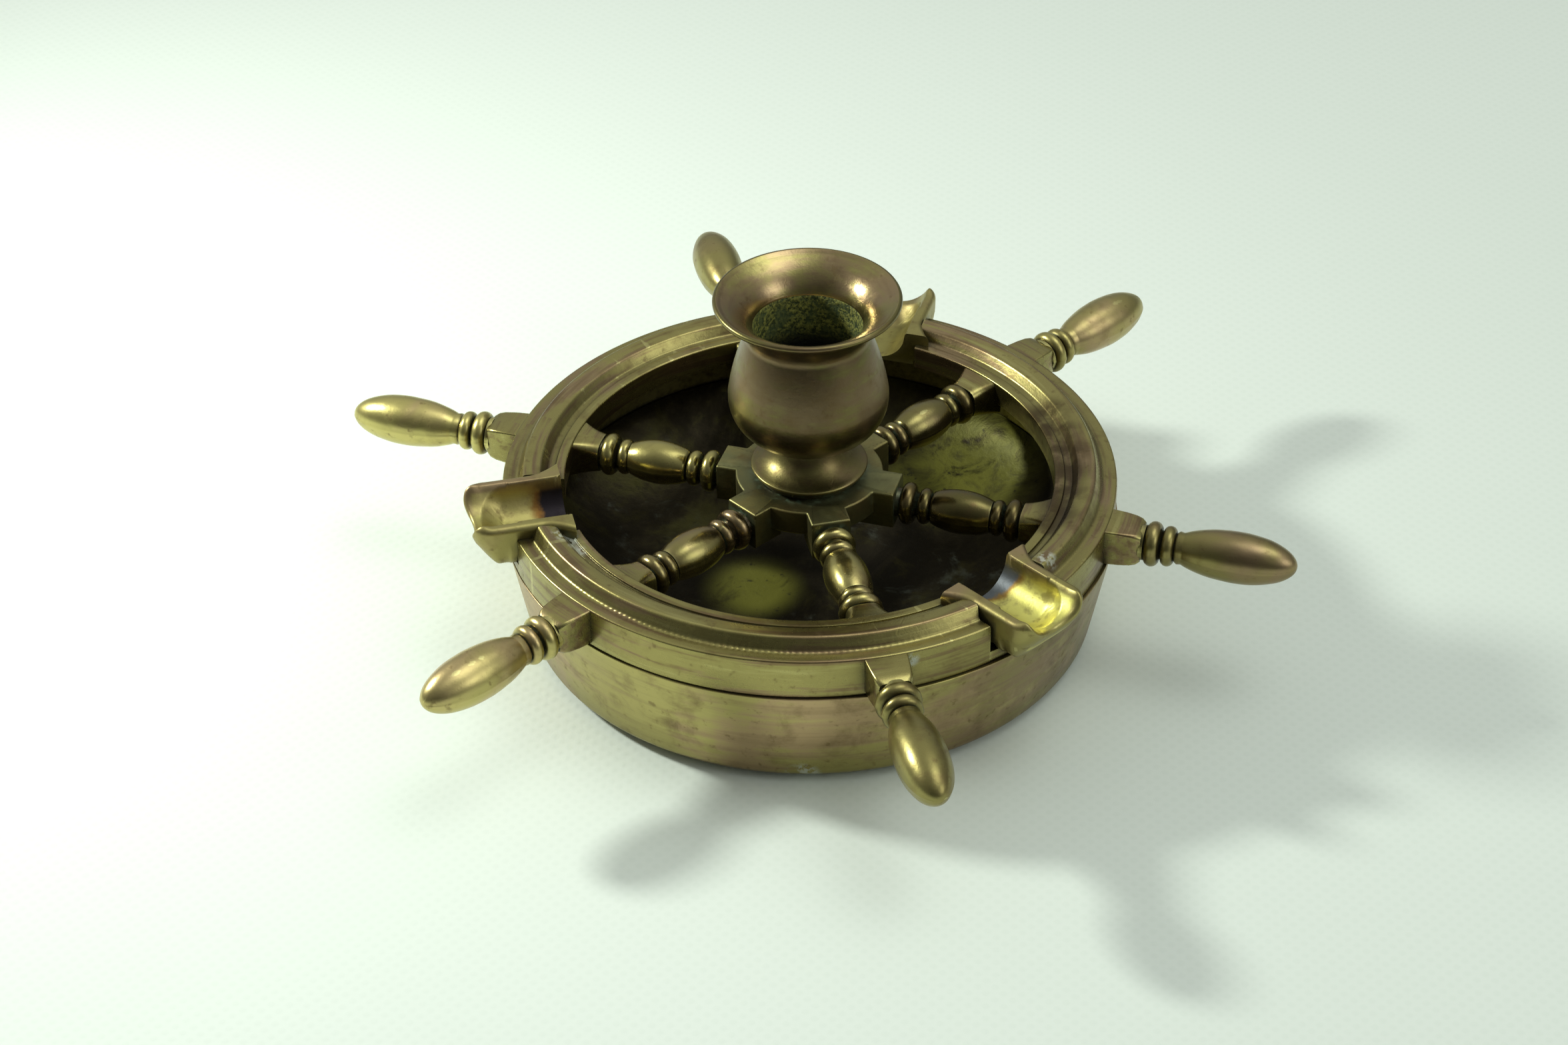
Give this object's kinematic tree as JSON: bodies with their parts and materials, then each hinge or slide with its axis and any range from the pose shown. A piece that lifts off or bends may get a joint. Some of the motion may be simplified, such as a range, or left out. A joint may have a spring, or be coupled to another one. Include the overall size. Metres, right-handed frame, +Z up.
{
  "type": "ship's wheel ashtray",
  "caption": "Round brass ashtray with a ship's wheel lid that turns and lifts off, smoking rests let into its rim and an urn-shaped cup on its hub.",
  "frame": {"origin": "centre of the bowl's underside, on the surface that it stands on", "axes": "+Z up along the wheel's axis, +X along spoke 1 and handle 1"},
  "size_m": [0.184, 0.16, 0.069],
  "materials": {
    "bowl_brass": "spun brass gone olive with brown stains",
    "wheel_brass": "cast brass, aged, satin, with brown in the grooves",
    "rest_brass": "cast brass, rubbed bright in the channel",
    "cup_brass": "turned brass, aged satin",
    "screw_brass": "plain turned brass, dull"
  },
  "bodies": {
    "bowl": {"bowl": "bowl_brass"},
    "seat": {"seat_ring": "bowl_brass"},
    "wheel": {"wheel_rim": "wheel_brass", "hub_plate": "wheel_brass", "spoke_1": "wheel_brass", "spoke_2": "wheel_brass", "spoke_3": "wheel_brass", "spoke_4": "wheel_brass", "spoke_5": "wheel_brass", "spoke_6": "wheel_brass", "handle_1": "wheel_brass", "handle_2": "wheel_brass", "handle_3": "wheel_brass", "handle_4": "wheel_brass", "handle_5": "wheel_brass", "handle_6": "wheel_brass", "rest_1": "rest_brass", "rest_2": "rest_brass", "rest_3": "rest_brass", "cup_foot": "cup_brass", "cup": "cup_brass", "clamp_screw": "screw_brass", "screw_washer": "screw_brass"}
  },
  "joints": [
    {"name": "wheel_turn", "type": "hinge", "parent": "bowl", "child": "seat", "pos_m": [0, 0, 0.0225], "axis": [0, 0, 1], "continuous": true},
    {"name": "wheel_lift", "type": "slide", "parent": "seat", "child": "wheel", "axis": [0, 0, 1], "range_m": [0, 0.045]}
  ]
}
